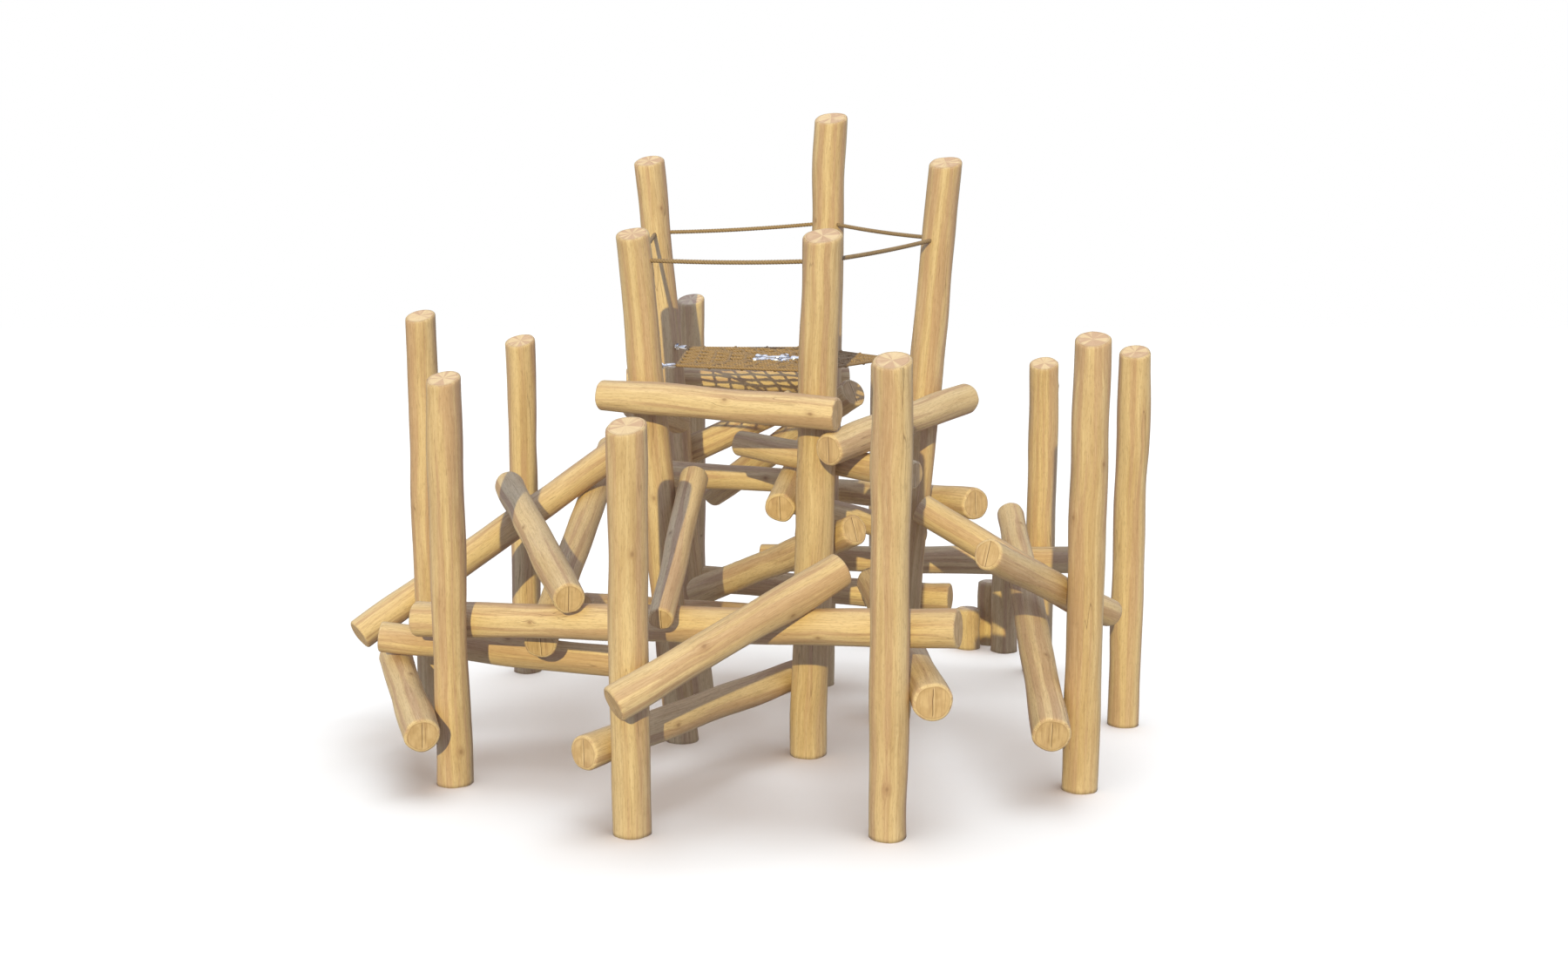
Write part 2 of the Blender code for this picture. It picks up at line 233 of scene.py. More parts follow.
def add_mesh(name, verts, faces, mats):
    """An object in the scene with a smooth mesh."""
    mesh = bpy.data.meshes.new(name)
    mesh.from_pydata([tuple(v) for v in verts], [], faces)
    for mat in mats:
        mesh.materials.append(mat)
    mesh.shade_smooth()
    piece = bpy.data.objects.new(name, mesh)
    bpy.context.scene.collection.objects.link(piece)
    return piece


def rings_of_wood(length, flat_start):
    """The rings of a piece of wood as (distance along, share of the radius, inset, end): over the sawn end,
    its rounded edge, the side, and the same at the far end. end is 1 on the side and falls to 0 inside a sawn
    end."""
    arc = [math.radians(a) for a in (0.0, 30.0, 60.0, 90.0)]
    edge = [(EDGE_ROUND * (1 - math.sin(a)), 1.0, EDGE_ROUND * (1 - math.cos(a)), 1.0) for a in arc]
    if flat_start:
        rings = [(0.0, 1.0, 0.0, 1.0)]
    else:
        rings = [(0.0, share, EDGE_ROUND, share) for share in reversed(CAP_RINGS)] + edge[::-1]
    start, stop = rings[-1][0], length - EDGE_ROUND
    steps = max(6, int((length - 2.0 * EDGE_ROUND) / STEP))
    rings += [(start + (stop - start) * i / steps, 1.0, 0.0, 1.0) for i in range(1, steps)]
    rings += [(length - back, *rest) for back, *rest in edge]
    rings += [(length, share, EDGE_ROUND, share) for share in CAP_RINGS]
    return rings


def wood_piece(name, chain, axis, mats, slopes=None, flat_start=False):
    """A piece of wood between the first and last centre of a chain of (distance along, centre, radius).
    slopes gives the rise of the sawn end, as (per x, per y), where it isn't square."""
    length = chain[-1][0]
    grown = Grown(name, length)
    if slopes is None:
        hint = Vector((0.0, 1.0, 0.0)) if abs(axis.z) > 0.8 else Vector((0.0, 0.0, 1.0))
        side = hint.cross(axis).normalized()
        up = axis.cross(side).normalized()
    else:
        side, up = Vector((1.0, 0.0, 0.0)), Vector((0.0, 1.0, 0.0))
    grain_start = grown.random.uniform(0.0, 50.0)
    verts, faces, wood, knot, near, end, cap_faces = [], [], [], [], [], [], set()

    def add_vert(point, place, offset, closeness, end_share):
        verts.append(point)
        wood.append(place)
        knot.append(offset)
        near.append(closeness)
        end.append(end_share)
        return len(verts) - 1

    def add_ring(along, shrink, inset, end_share):
        centre, radius = value_along(chain, along)
        off_x, off_y = grown.sideways(along)
        fade = min(1.0, along / FOOT_REACH) if flat_start else 1.0
        tilt = max(0.0, 1.0 - (length - along) / SLOPE_REACH) ** 2
        row = []
        for j in range(AROUND):
            angle = math.tau * j / AROUND
            offset, closeness = grown.knot_offset(angle, along, radius)
            bump = math.exp(-sum(part * part for part in offset) / KNOT_SPREAD ** 2)
            full = radius * grown.swell(angle, along) + KNOT_RISE * bump
            reach = max(0.0, (full - inset) * shrink)
            x, y = reach * math.cos(angle), reach * math.sin(angle)
            point = centre + side * (x + off_x * fade) + up * (y + off_y * fade)
            if slopes is not None:
                point.z += tilt * (slopes[0] * x + slopes[1] * y)
            closeness = closeness if end_share == 1.0 else 0.0
            row.append(add_vert(point, (x, y, along + grain_start), offset, closeness, end_share))
        return row

    rings = rings_of_wood(length, flat_start)
    rows = [add_ring(*ring) for ring in rings]
    for low, high, ring, following in zip(rows, rows[1:], rings, rings[1:]):
        for j in range(AROUND):
            k = (j + 1) % AROUND
            if min(ring[3], following[3]) < 1.0:
                cap_faces.add(len(faces))
            faces.append((low[j], low[k], high[k], high[j]))
    for row, at_start in ((rows[0], True), (rows[-1], False)):
        middle = sum((verts[i] for i in row), Vector()) / AROUND
        heart = add_vert(middle, (0.0, 0.0, wood[row[0]][2]), (1.0, 1.0, 1.0), 0.0, 0.0)
        for j in range(AROUND):
            k = (j + 1) % AROUND
            cap_faces.add(len(faces))
            faces.append((row[k], row[j], heart) if at_start else (row[j], row[k], heart))

    piece = add_mesh(name, verts, faces, mats)
    for label, values in (("wood", wood), ("knot", knot)):
        piece.data.attributes.new(label, "FLOAT_VECTOR", "POINT").data.foreach_set("vector", np.ravel(values))
    for label, values in (("near_knot", near), ("end", end)):
        piece.data.attributes.new(label, "FLOAT", "POINT").data.foreach_set("value", values)
    for index in cap_faces:
        piece.data.polygons[index].material_index = 1
    return piece


def settle_piece(piece, node):
    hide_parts(node)
    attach(piece, "root")


def build_log(node, mats):
    """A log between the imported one's end faces, with its full radius there and its own rounded edges."""
    chain = ring_chain(node)
    if chain[0][0].x > chain[-1][0].x:
        chain.reverse()
    start, stop = chain[0][0], chain[-1][0]
    axis = (stop - start).normalized()
    body = [(start, chain[1][1]), *chain[1:-1], (stop, chain[-2][1])]
    rings = [((centre - start).dot(axis), centre, radius) for centre, radius in body]
    settle_piece(wood_piece(node + "_wood", rings, axis, mats), node)


def build_post(node, mats):
    """A post or stump from its flat foot to its slanted top."""
    chain = level_chain(node)
    foot, last = chain[0][0], chain[-1][0]
    height, *slopes = top_plane(node, last.z)
    axis = (last - foot).normalized()
    rings = [(centre.z, centre, radius) for centre, radius in chain]
    if height - last.z > 0.001:
        rings.append((height, foot + axis * (height / axis.z), chain[-1][1]))
    settle_piece(wood_piece(node + "_wood", rings, axis, mats, slopes, flat_start=True), node)


# ---------------------------------------------------------------- ropes, net and fittings

def twisted_ropes(name, runs, mat):
    """One object of several ropes, each (points, radii), with three strands twisted around each other."""
    verts, faces, lay = [], [], []
    for path, radii in runs:
        start = len(verts)
        along = 0.0
        normal = None
        for i, point in enumerate(path):
            before, after = path[max(i - 1, 0)], path[min(i + 1, len(path) - 1)]
            tangent = (after - before).normalized()
            if normal is None:
                normal = tangent.cross(Vector((0.0, 0.0, 1.0)) if abs(tangent.z) < 0.9 else Vector((1, 0, 0)))
            normal = (normal - tangent * normal.dot(tangent)).normalized()
            other = tangent.cross(normal)
            if i:
                along += (point - path[i - 1]).length
            turn = math.tau * along / ROPE_LAY
            for j in range(ROPE_SIDES):
                angle = math.tau * j / ROPE_SIDES
                reach = radii[i] * (0.80 + 0.20 * abs(math.cos(1.5 * (angle - turn))))
                verts.append(point + (normal * math.cos(angle) + other * math.sin(angle)) * reach)
                lay.append((angle - turn, along, 0.0))
        for i in range(len(path) - 1):
            for j in range(ROPE_SIDES):
                k = (j + 1) % ROPE_SIDES
                a, b = start + i * ROPE_SIDES, start + (i + 1) * ROPE_SIDES
                faces.append((a + j, a + k, b + k, b + j))
        last = start + (len(path) - 1) * ROPE_SIDES
        faces.append(tuple(start + j for j in reversed(range(ROPE_SIDES))))
        faces.append(tuple(last + j for j in range(ROPE_SIDES)))
    piece = add_mesh(name, verts, faces, [mat])
    piece.data.attributes.new("lay", "FLOAT_VECTOR", "POINT").data.foreach_set("vector", np.ravel(lay))
    return piece


def resampled(points, step):
    """Points at an even distance along a smooth curve through the given points."""
    lengths = np.cumsum([0.0] + [(b - a).length for a, b in zip(points, points[1:])])
    count = max(2, int(lengths[-1] / step))
    places = np.linspace(0.0, lengths[-1], count + 1)
    table = np.array([tuple(p) for p in points])
    smooth = np.stack([np.interp(places, lengths, table[:, i]) for i in range(3)], axis=1)
    for _ in range(ROPE_EASING):
        smooth[1:-1] = (smooth[:-2] + smooth[1:-1] * 2.0 + smooth[2:]) / 4.0
    return [Vector(p) for p in smooth]


def build_handrail_rope(node, mat):
    """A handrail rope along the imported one's middle line."""
    chain = ring_chain(node)
    radius = max(r for _, r in chain)
    path = resampled([centre for centre, _ in chain], ROPE_STEP)
    piece = twisted_ropes(node + "_strands", [(path, [radius * ROPE_FULLER] * len(path))], mat)
    settle_piece(piece, node)


def net_corners():
    """The net's corners in order around it, and its middle."""
    low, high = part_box("net_hub_ring")
    middle = (low + high) / 2.0
    outline = [Vector(p) for p in corner_points("rope_net")]
    corners = []
    for number in range(1, 6):
        low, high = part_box(f"net_connector_{number}")
        place = (low + high) / 2.0
        corner = min(outline, key=lambda p: (Vector((p.x, p.y, place.z)) - place).length)
        corners.append(Vector((corner.x, corner.y, middle.z)))
    corners.sort(key=lambda p: math.atan2(p.y - middle.y, p.x - middle.x))
    return corners, middle


def sagged(point, middle, reach):
    """Lowers a point of the net a little, more towards its middle."""
    share = min(1.0, (point - middle).xy.length / reach)
    return point - Vector((0.0, 0.0, NET_SAG * (1.0 - share * share)))


def net_rope(a, b, middle, reach, over):
    """Points and radii along a straight net rope that passes in turn over and under the ropes it crosses, a
    little thicker where it is spliced through them."""
    length = (b - a).length
    cells = max(1, round(length / NET_CELL))
    count = max(2, int(length / ROPE_STEP))
    points, radii = [], []
    for i in range(count + 1):
        share = i / count
        turn = math.pi * cells * share
        lift = NET_WEAVE * over * math.cos(turn)
        points.append(sagged(a.lerp(b, share), middle, reach) + Vector((0.0, 0.0, lift)))
        splice = abs(math.cos(turn)) ** 24
        radii.append(NET_ROPE_RADIUS * (1.0 + (NET_KNOT - 1.0) * splice))
    return points, radii


def build_net(mat):
    """The web: ropes along the edges, spokes from the hub to the corners, rows that follow each edge and
    ropes square to it. Returns the net's corners and middle."""
    corners, middle = net_corners()
    reach = max((c - middle).length for c in corners)
    low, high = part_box("net_hub_ring")
    hub = (high.x - low.x) / 2.0
    runs = []
    for i, corner in enumerate(corners):
        following = corners[(i + 1) % len(corners)]
        foot = corner.lerp(following, 0.5)
        depth = (middle - foot).length
        inward = (middle - foot) / depth
        edge, _ = net_rope(corner, following, middle, reach, 0.0)
        runs.append((edge, [NET_EDGE_RADIUS] * len(edge)))
        spoke, _ = net_rope(middle + (corner - middle).normalized() * hub, corner, middle, reach, 0.0)
        runs.append((spoke, [NET_EDGE_RADIUS] * len(spoke)))
        rows = round(depth / NET_CELL)
        for row in range(2, rows):
            a, b = middle.lerp(corner, row / rows), middle.lerp(following, row / rows)
            runs.append(net_rope(a, b, middle, reach, 1.0 if row % 2 else -1.0))
        columns = round((following - corner).length / NET_CELL)
        for column in range(1, columns):
            start = corner.lerp(following, column / columns)
            length = depth * (1.0 - abs(2.0 * column / columns - 1.0))
            length = min(length, depth * (1.0 - 1.5 / rows))
            if length > NET_CELL * 0.5:
                over = 1.0 if column % 2 else -1.0
                runs.append(net_rope(start, start + inward * length, middle, reach, over))
    settle_piece(twisted_ropes("rope_net_web", runs, mat), "rope_net")
    return corners, middle


def turned(name, profile, start, axis, mat):
    """A turned metal part: rings of (distance along the axis, radius), closed at both ends."""
    side = axis.cross(Vector((0.0, 0.0, 1.0))).normalized()
    up = axis.cross(side)
    verts, faces = [], []
    for along, radius in profile:
        for j in range(TURNED_SIDES):
            angle = math.tau * j / TURNED_SIDES
            verts.append(start + axis * along + (side * math.cos(angle) + up * math.sin(angle)) * radius)
    last = (len(profile) - 1) * TURNED_SIDES
    for i in range(0, last, TURNED_SIDES):
        for j in range(TURNED_SIDES):
            k = (j + 1) % TURNED_SIDES
            faces.append((i + j, i + TURNED_SIDES + j, i + TURNED_SIDES + k, i + k))
    faces.append(tuple(range(TURNED_SIDES)))
    faces.append(tuple(reversed(range(last, last + TURNED_SIDES))))
    piece = add_mesh(name, verts, faces, [mat])
    piece.data.set_sharp_from_angle(angle=math.radians(35))
    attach(piece, "root")
    return piece


def build_connector(node, middle, mat):
    """A connector from its tower post to its corner of the net, with a collar outside the post."""
    chain = ring_chain(node)
    outer, *_, inner = sorted((centre for centre, _ in chain), key=lambda c: -(c - middle).length)
    radius = max(r for _, r in chain)
    length = (inner - outer).length
    profile = [(length * along, radius * wide) for along, wide in CONNECTOR_PROFILE]
    piece = turned(node + "_fitting", profile, outer, (inner - outer).normalized(), mat)
    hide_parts(node)


def build_hub(corners, middle, mat):
    """The hub ring and the pressed sleeves in which the net's radial ropes end."""
    low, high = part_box("net_hub_ring")
    outer = (high.x - low.x) / 2.0
    tube = (high.z - low.z) / 2.0
    hanging = middle - Vector((0.0, 0.0, NET_SAG * 0.9))
    for number, corner in enumerate(corners, start=1):
        axis = (corner - middle).normalized()
        start = hanging + axis * (outer - tube * 1.2)
        turned(f"net_hub_sleeve_{number}", SLEEVE_PROFILE, start, axis, mat)
    verts, faces = [], []
    for i in range(RING_AROUND):
        angle = math.tau * i / RING_AROUND
        out = Vector((math.cos(angle), math.sin(angle), 0.0))
        for k in range(RING_SECTION):
            turn = math.tau * k / RING_SECTION
            reach = outer - tube + tube * math.cos(turn)
            verts.append(hanging + out * reach + Vector((0.0, 0.0, tube * math.sin(turn))))
            a, b = i * RING_SECTION, (i + 1) % RING_AROUND * RING_SECTION
            m = (k + 1) % RING_SECTION
            faces.append((a + k, b + k, b + m, a + m))
    settle_piece(add_mesh("net_hub_ring_steel", verts, faces, [mat]), "net_hub_ring")


# ---------------------------------------------------------------- materials

class Nodes:
    """Short calls for building a material's nodes."""

    def __init__(self, name):
        self.material = bpy.data.materials.new(name)
        self.material.use_nodes = True
        self.tree = self.material.node_tree
        self.shader = self.tree.nodes["Principled BSDF"]

    def add(self, kind, inputs=None, output=0, **settings):
        node = self.tree.nodes.new(kind)
        for key, value in settings.items():
            setattr(node, key, value)
        for key, value in (inputs or {}).items():
            self.put(node.inputs[key], value)
        return node.outputs[output]

    def put(self, socket, value):
        if isinstance(value, bpy.types.NodeSocket):
            self.tree.links.new(value, socket)
        else:
            socket.default_value = value

    def attribute(self, name, output="Vector"):
        return self.add("ShaderNodeAttribute", attribute_name=name, output=output)

    def scaled(self, vector, scale):
        return self.add("ShaderNodeVectorMath", {0: vector, 1: scale}, operation="MULTIPLY")

    def math(self, operation, a, b=0.0):
        return self.add("ShaderNodeMath", {0: a, 1: b}, operation=operation)

    def split(self, vector):
        """A vector's three parts."""
        parts = self.tree.nodes.new("ShaderNodeSeparateXYZ")
        self.put(parts.inputs[0], vector)
        return parts.outputs

    def noise(self, vector, scale, detail=2.0, roughness=0.5, distortion=0.0):
        inputs = {"Vector": self.scaled(vector, scale), "Scale": 1.0, "Detail": detail,
                  "Roughness": roughness, "Distortion": distortion}
        return self.add("ShaderNodeTexNoise", inputs)

    def range(self, value, low, high, to_low=0.0, to_high=1.0):
        return self.add("ShaderNodeMapRange", {"Value": value, "From Min": low, "From Max": high,
                                               "To Min": to_low, "To Max": to_high},
                        interpolation_type="SMOOTHSTEP")

    def mix(self, share, a, b):
        node = self.tree.nodes.new("ShaderNodeMix")
        node.data_type = "RGBA"
        for socket, value in ((node.inputs[0], share), (node.inputs[6], a), (node.inputs[7], b)):
            self.put(socket, value)
        return node.outputs[2]

    def layer(self, colour, mask, low, high, share, tint):
        """Lays a tint over a colour, by up to a share, as the mask goes from low to high."""
        return self.mix(self.math("MULTIPLY", self.range(mask, low, high), share), colour, tint)

    def line(self, value, width):
        """1 where a noise value is close to its middle, falling to 0: thin wandering lines."""
        return self.range(self.math("ABSOLUTE", self.math("SUBTRACT", value, 0.5)), 0.0, width, 1.0, 0.0)

    def bump(self, height, strength, distance):
        normal = self.add("ShaderNodeBump", {"Height": height, "Strength": strength, "Distance": distance})
        self.put(self.shader.inputs["Normal"], normal)

    def finish(self, colour, roughness, **fixed):
        self.put(self.shader.inputs["Base Color"], colour)
        self.put(self.shader.inputs["Roughness"], roughness)
        for key, value in fixed.items():
            self.shader.inputs[key.replace("_", " ")].default_value = value
        return self.material


def bark_free_wood(name, light, dark):
    """The sides of a post or log, between a light and a dark tone: soft pinkish bands and streaks that flow
    around knots, fine fibres and flecks, and a few thin drying cracks."""
    n = Nodes(name)
    place = n.attribute("wood")
    knot = n.attribute("knot")
    near = n.attribute("near_knot", "Fac")
    distance = n.add("ShaderNodeVectorMath", {0: n.scaled(knot, (1.0, 1.0, 0.62))}, output="Value",
                     operation="LENGTH")
    pull = n.math("MULTIPLY", n.range(distance, 0.0, KNOT_REACH, 0.7, 0.0), near)
    pulled = n.add("ShaderNodeVectorMath", {0: knot, 3: pull}, operation="SCALE")
    place = n.add("ShaderNodeVectorMath", {0: place, 1: pulled}, operation="SUBTRACT")
    inputs = {"Vector": n.scaled(place, (3.0, 3.0, 2.2)), "Scale": 1.0, "Detail": 1.0}
    wander = n.add("ShaderNodeTexNoise", inputs, output="Color")
    wander = n.add("ShaderNodeVectorMath", {0: wander, 1: (0.5, 0.5, 0.5)}, operation="SUBTRACT")
    wander = n.scaled(wander, (0.028, 0.028, 0.0))
    place = n.add("ShaderNodeVectorMath", {0: place, 1: wander}, operation="ADD")

    bands = n.noise(place, (21.0, 21.0, 0.40), 2.0, 0.5)
    tone = n.noise(place, (6.0, 6.0, 1.5), 2.0, 0.5)
    streaks = n.noise(place, (46.0, 46.0, 1.5), 4.0, 0.6)
    fibres = n.noise(place, (210.0, 210.0, 5.0), 3.0, 0.6)
    flecks = n.noise(place, (150.0, 150.0, 30.0), 2.0, 0.6)
    cracks = n.line(n.noise(place, (16.0, 16.0, 0.65), 2.0, 0.5), 0.008)
    cracks = n.math("MULTIPLY", cracks, n.range(n.noise(place, (6.0, 6.0, 1.3), 1.0), 0.56, 0.66))
    ticks = n.range(n.noise(place, (120.0, 120.0, 11.0), 1.0), 0.68, 0.76)

    colour = n.mix(n.range(tone, 0.35, 0.65), dark, light)
    for mask, low, high, share, tint in (
            (bands, 0.49, 0.60, 0.75, (0.500, 0.325, 0.210, 1)),
            (bands, 0.47, 0.38, 0.65, (0.690, 0.535, 0.315, 1)),
            (streaks, 0.50, 0.70, 0.32, (0.400, 0.255, 0.145, 1)),
            (streaks, 0.47, 0.32, 0.28, (0.725, 0.570, 0.365, 1)),
            (fibres, 0.49, 0.68, 0.25, (0.340, 0.215, 0.120, 1)),
            (fibres, 0.48, 0.34, 0.20, (0.800, 0.660, 0.450, 1)),
            (flecks, 0.50, 0.68, 0.26, (0.310, 0.200, 0.115, 1))):
        colour = n.layer(colour, mask, low, high, share, tint)
    colour = n.mix(n.math("MULTIPLY", ticks, 0.28), colour, (0.230, 0.135, 0.075, 1))
    colour = n.mix(n.math("MULTIPLY", cracks, 0.55), colour, (0.150, 0.085, 0.050, 1))
    around = n.math("MULTIPLY", n.range(distance, 0.006, 0.034, 0.55, 0.0), near)
    colour = n.mix(around, colour, (0.360, 0.215, 0.125, 1))
    heart = n.math("MULTIPLY", n.range(distance, 0.003, 0.012, 0.50, 0.0), near)
    colour = n.mix(heart, colour, (0.210, 0.120, 0.070, 1))

    height = n.math("ADD", n.math("MULTIPLY", fibres, 0.45), n.math("MULTIPLY", streaks, 0.8))
    height = n.math("SUBTRACT", height, n.math("MULTIPLY", cracks, 1.2))
    height = n.math("SUBTRACT", height, n.math("MULTIPLY", heart, 0.5))
    n.bump(height, 0.35, 0.0022)
    return n.finish(colour, n.range(streaks, 0.3, 0.7, 0.62, 0.80), Specular_IOR_Level=0.22)


def end_rim(n, colour, rim_colour):
    """A lighter worn edge around a sawn end, and the faint line inside it."""
    share = n.attribute("end", "Fac")
    colour = n.layer(colour, share, 0.85, 0.95, 0.30, (0.330, 0.205, 0.115, 1))
    return n.layer(colour, share, 0.955, 1.0, 0.90, rim_colour)


def log_end():
    """A sawn log end: straight grain and saw lines, and a thin straight drying crack beside the heart."""
    n = Nodes("robinia_log_end")
    place = n.attribute("wood")
    wander = n.math("SUBTRACT", n.noise(place, (14.0, 14.0, 3.0), 2.0), 0.5)
    x, y, _ = n.split(place)
    across = n.math("ADD", x, n.math("MULTIPLY", wander, 0.007))
    lines = n.noise(place, (120.0, 9.0, 3.0), 3.0, 0.6, 0.2)
    wide = n.noise(place, (36.0, 5.0, 3.0), 2.0, 0.5, 0.2)
    cloud = n.noise(place, (16.0, 16.0, 3.0), 2.0)

    def crack(offset, width, reach):
        gap = n.math("ABSOLUTE", n.math("SUBTRACT", across, offset))
        thin = n.range(gap, width * 0.4, width, 1.0, 0.0)
        ends = n.range(n.math("ABSOLUTE", y), reach, reach + 0.02, 1.0, 0.0)
        return n.math("MULTIPLY", thin, ends)

    colour = n.mix(n.range(cloud, 0.35, 0.65), (0.540, 0.375, 0.205, 1), (0.640, 0.465, 0.270, 1))
    colour = n.layer(colour, lines, 0.52, 0.72, 0.55, (0.370, 0.230, 0.130, 1))
    colour = n.layer(colour, lines, 0.46, 0.28, 0.35, (0.740, 0.570, 0.360, 1))
    colour = n.layer(colour, wide, 0.54, 0.68, 0.35, (0.400, 0.240, 0.150, 1))
    colour = n.mix(n.math("MULTIPLY", crack(0.004, 0.003, 0.070), 0.6), colour, (0.770, 0.600, 0.400, 1))
    colour = end_rim(n, colour, (0.720, 0.550, 0.330, 1))
    first = crack(-0.001, 0.0026, 0.062)
    colour = n.mix(n.math("MULTIPLY", first, 0.85), colour, (0.130, 0.070, 0.040, 1))
    second = crack(0.017, 0.0016, 0.038)
    colour = n.mix(n.math("MULTIPLY", second, 0.55), colour, (0.200, 0.115, 0.065, 1))
    n.bump(n.math("SUBTRACT", n.math("MULTIPLY", lines, 0.4), n.math("MULTIPLY", first, 1.5)), 0.4, 0.003)
    return n.finish(colour, n.range(lines, 0.3, 0.7, 0.85, 0.7), Specular_IOR_Level=0.2)


def post_top():
    """A post's sawn top: pale and pinkish wedges that meet at the heart, with fine radial lines."""
    n = Nodes("robinia_post_top")
    place = n.attribute("wood")
    flat = n.scaled(place, (1.0, 1.0, 0.0))
    distance = n.add("ShaderNodeVectorMath", {0: flat}, output="Value", operation="LENGTH")
    ray = n.add("ShaderNodeVectorMath", {0: flat}, operation="NORMALIZE")
    seed = n.scaled(place, (0.0, 0.0, 0.37))
    ray = n.add("ShaderNodeVectorMath", {0: ray, 1: seed}, operation="ADD")
    cloud = n.noise(place, (22.0, 22.0, 1.0), 3.0, 0.6)
    bent = n.add("ShaderNodeVectorMath", {0: ray, 1: n.math("MULTIPLY", cloud, 0.16)}, operation="ADD")
    wedges = n.noise(bent, (1.9, 1.9, 1.9), 0.0)
    fine = n.noise(ray, (13.0, 13.0, 13.0), 3.0, 0.6)
    splits = n.line(n.noise(ray, (3.1, 3.1, 3.1), 1.0), 0.010)
    growth = n.math("ADD", distance, n.math("MULTIPLY", cloud, 0.010))
    growth = n.math("SINE", n.math("MULTIPLY", growth, 1100.0))
    colour = n.mix(n.range(wedges, 0.42, 0.58), (0.640, 0.440, 0.300, 1), (0.810, 0.630, 0.400, 1))
    colour = n.layer(colour, fine, 0.55, 0.35, 0.25, (0.460, 0.295, 0.190, 1))
    colour = n.layer(colour, cloud, 0.50, 0.70, 0.25, (0.850, 0.700, 0.500, 1))
    colour = n.layer(colour, growth, 0.2, 1.0, 0.10, (0.430, 0.270, 0.165, 1))
    colour = end_rim(n, colour, (0.800, 0.640, 0.420, 1))
    splits = n.math("MULTIPLY", splits, n.range(distance, 0.085, 0.03))
    colour = n.mix(n.math("MULTIPLY", splits, 0.35), colour, (0.250, 0.150, 0.090, 1))
    n.bump(n.math("SUBTRACT", n.math("MULTIPLY", fine, 0.5), splits), 0.25, 0.002)
    return n.finish(colour, n.range(fine, 0.3, 0.7, 0.85, 0.7), Specular_IOR_Level=0.2)


def rope_fibre(name, dark, light):
    """Twisted rope: yarns that follow the lay, with painted shade darkening the grooves between the strands.
    """
    n = Nodes(name)
    lay = n.attribute("lay")
    yarn = n.noise(lay, (6.0, 22.0, 0.0), 3.0, 0.6)
    hair = n.noise(lay, (40.0, 160.0, 0.0), 2.0, 0.6)
    groove = n.math("ABSOLUTE", n.math("COSINE", n.math("MULTIPLY", n.split(lay)[0], 1.5)))
    colour = n.mix(n.range(yarn, 0.3, 0.7), dark, light)
    colour = n.layer(colour, hair, 0.40, 0.70, 0.35, light)
    # Painted shade: darker towards the grooves between the strands
    colour = n.mix(n.range(groove, 0.0, 0.55, 0.75, 0.0), colour, tuple(c * 0.35 for c in dark[:3]) + (1,))
    n.bump(n.math("ADD", n.math("MULTIPLY", hair, 0.5), yarn), 0.5, 0.0015)
    return n.finish(colour, n.range(hair, 0.3, 0.7, 0.95, 0.8), Specular_IOR_Level=0.2)


def bright_steel():
    n = Nodes("bright_steel")
    place = n.add("ShaderNodeTexCoord", output="Object")
    brushed = n.noise(place, (90.0, 90.0, 1400.0), 2.0)
    smudge = n.noise(place, (35.0, 35.0, 35.0), 2.0)
    colour = n.mix(n.range(smudge, 0.35, 0.7), (0.80, 0.81, 0.83, 1), (0.93, 0.94, 0.95, 1))
    n.bump(brushed, 0.06, 0.0005)
    return n.finish(colour, n.range(brushed, 0.3, 0.7, 0.10, 0.22), Metallic=1.0)


def floor_material():
    n = Nodes("pale_floor")
    place = n.add("ShaderNodeTexCoord", output="Object")
    cloud = n.noise(place, (0.35, 0.35, 0.35), 3.0)
    colour = n.mix(n.range(cloud, 0.3, 0.7), (0.915, 0.715, 0.495, 1), (0.925, 0.725, 0.505, 1))
    return n.finish(colour, n.range(cloud, 0.3, 0.7, 0.9, 0.94), Specular_IOR_Level=0.1)


# ---------------------------------------------------------------- floor, light and camera

def build_floor():
    half = FLOOR_SIZE / 2.0
    corners = [(-half, -half, 0.0), (half, -half, 0.0), (half, half, 0.0), (-half, half, 0.0)]
    floor = add_mesh("floor", corners, [(0, 1, 2, 3)], [floor_material()])
    floor.visible_diffuse = False
    return floor


def sun(name, towards, strength, colour, spread, receivers):
    """A lamp with parallel light that lights only the objects in a collection."""
    light = bpy.data.lights.new(name, "SUN")
    light.energy = strength
    light.color = colour
    light.angle = math.radians(spread)
    lamp = bpy.data.objects.new(name, light)
    lamp.rotation_euler = towards.to_track_quat("-Z", "Y").to_euler()
    bpy.context.scene.collection.objects.link(lamp)
    lamp.light_linking.receiver_collection = receivers


def collection_of(name, objects):
    group = bpy.data.collections.new(name)
    for obj in objects:
        group.objects.link(obj)
    return group


def build_lights(floor):
    elevation, azimuth = math.radians(SUN_ELEVATION), math.radians(SUN_AZIMUTH)
    flat = math.cos(elevation)
    towards = Vector((math.sin(azimuth) * flat, math.cos(azimuth) * flat, -math.sin(elevation)))
    structure = collection_of("structure", [o for o in bpy.data.objects if o.type == "MESH" and o != floor])
    sun("sun", towards, SUN_STRENGTH, SUN_COLOUR, SUN_SPREAD, structure)
    sun("floor_light", FLOOR_LIGHT_TOWARDS, FLOOR_LIGHT_STRENGTH, FLOOR_LIGHT_COLOUR, FLOOR_LIGHT_SPREAD,
        collection_of("ground", [floor]))


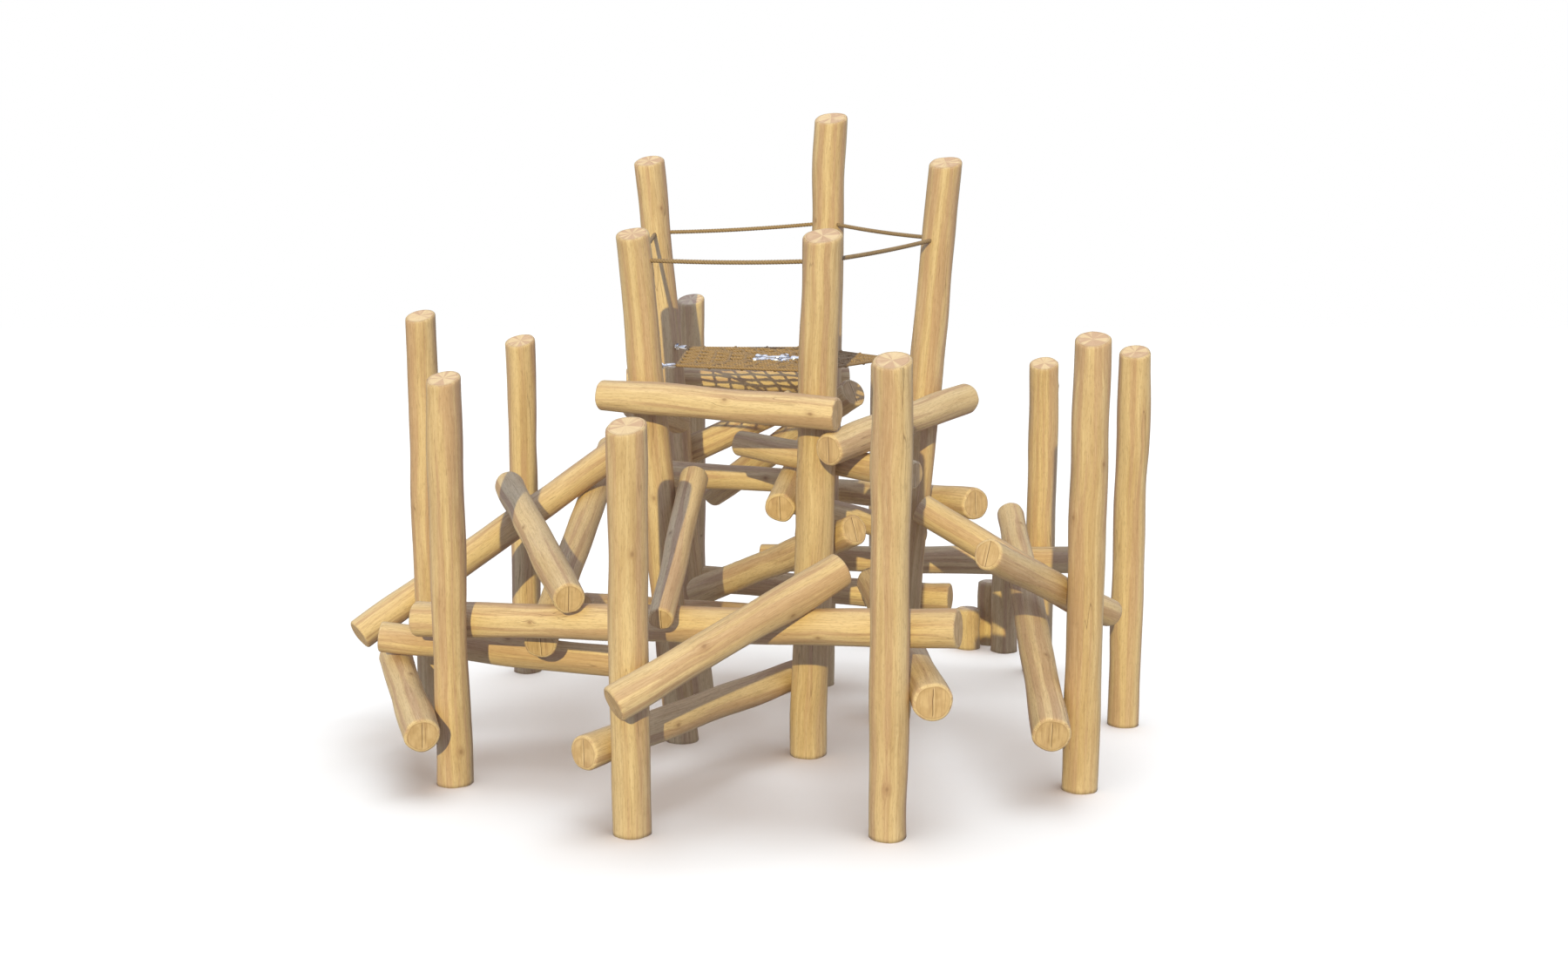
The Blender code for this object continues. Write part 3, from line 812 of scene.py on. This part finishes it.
def gradient(tree, height, low, high, below, above):
    """A colour that changes with the height of the direction looked in."""
    ramp = tree.nodes.new("ShaderNodeMapRange")
    ramp.interpolation_type = "SMOOTHSTEP"
    ramp.inputs["From Min"].default_value = low
    ramp.inputs["From Max"].default_value = high
    tree.links.new(height, ramp.inputs["Value"])
    shade = tree.nodes.new("ShaderNodeMix")
    shade.data_type = "RGBA"
    shade.inputs[6].default_value = (*below, 1.0)
    shade.inputs[7].default_value = (*above, 1.0)
    tree.links.new(ramp.outputs[0], shade.inputs[0])
    background = tree.nodes.new("ShaderNodeBackground")
    tree.links.new(shade.outputs[2], background.inputs["Color"])
    return background.outputs[0]


def build_sky():
    """A plain sky: white where it is seen, light above dark in the steel, and lighting the wood softly from
    above."""
    world = bpy.data.worlds.new("sky")
    bpy.context.scene.world = world
    world.use_nodes = True
    tree = world.node_tree
    direction = tree.nodes.new("ShaderNodeTexCoord")
    height = tree.nodes.new("ShaderNodeSeparateXYZ")
    tree.links.new(direction.outputs["Generated"], height.inputs[0])
    soft = gradient(tree, height.outputs["Z"], *SKY_HEIGHTS, SKY_BELOW, SKY_ABOVE)
    mirrored = gradient(tree, height.outputs["Z"], *MIRRORED_HEIGHTS, MIRRORED_BELOW, MIRRORED_ABOVE)
    white = tree.nodes["Background"]
    white.inputs["Color"].default_value = (1.0, 1.0, 1.0, 1.0)
    rays = tree.nodes.new("ShaderNodeLightPath")
    inner = tree.nodes.new("ShaderNodeMixShader")
    tree.links.new(rays.outputs["Is Glossy Ray"], inner.inputs[0])
    tree.links.new(soft, inner.inputs[1])
    tree.links.new(mirrored, inner.inputs[2])
    outer = tree.nodes.new("ShaderNodeMixShader")
    tree.links.new(rays.outputs["Is Camera Ray"], outer.inputs[0])
    tree.links.new(inner.outputs[0], outer.inputs[1])
    tree.links.new(white.outputs[0], outer.inputs[2])
    tree.links.new(outer.outputs[0], tree.nodes["World Output"].inputs[0])


def build_camera():
    foot = level_chain("outer_post_9")[0][0]
    data = bpy.data.cameras.new("camera")
    data.sensor_width = SENSOR_WIDTH
    data.lens = CAMERA_LENS
    camera = bpy.data.objects.new("camera", data)
    camera.location = foot + CAMERA_FROM_FRONT_POST
    camera.rotation_euler = (math.radians(90.0 - CAMERA_PITCH), 0.0, 0.0)
    bpy.context.scene.collection.objects.link(camera)
    bpy.context.scene.camera = camera


# ---------------------------------------------------------------- the whole scene

def main():
    # Painted light: the log sides are the post wood made about 15% lighter and yellower, for the extra light
    # from above that lying logs catch and upright posts don't
    log_side_painted_lighter = bark_free_wood("robinia_log_side", (0.735, 0.565, 0.340, 1), (0.625, 0.462, 0.265, 1))
    post_side = bark_free_wood("robinia_post_side", (0.640, 0.478, 0.280, 1), (0.540, 0.385, 0.212, 1))
    log_mats = [log_side_painted_lighter, log_end()]
    post_mats = [post_side, post_top()]
    rope_mat = rope_fibre("handrail_rope_fibre", (0.21, 0.14, 0.075, 1), (0.46, 0.33, 0.20, 1))
    net_fibre = rope_fibre("net_rope_fibre", (0.22, 0.14, 0.07, 1), (0.50, 0.345, 0.20, 1))
    steel = bright_steel()
    for node in sorted(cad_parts):
        if node.endswith("_log"):
            build_log(node, log_mats)
        elif "_post_" in node or node.startswith("step_stump"):
            build_post(node, post_mats)
        elif node.startswith("handrail_rope"):
            build_handrail_rope(node, rope_mat)
    corners, middle = build_net(net_fibre)
    build_hub(corners, middle, steel)
    for number in range(1, 6):
        build_connector(f"net_connector_{number}", middle, steel)
    floor = build_floor()
    build_lights(floor)
    build_sky()
    build_camera()
    bpy.context.scene.view_settings.view_transform = "Standard"


main()
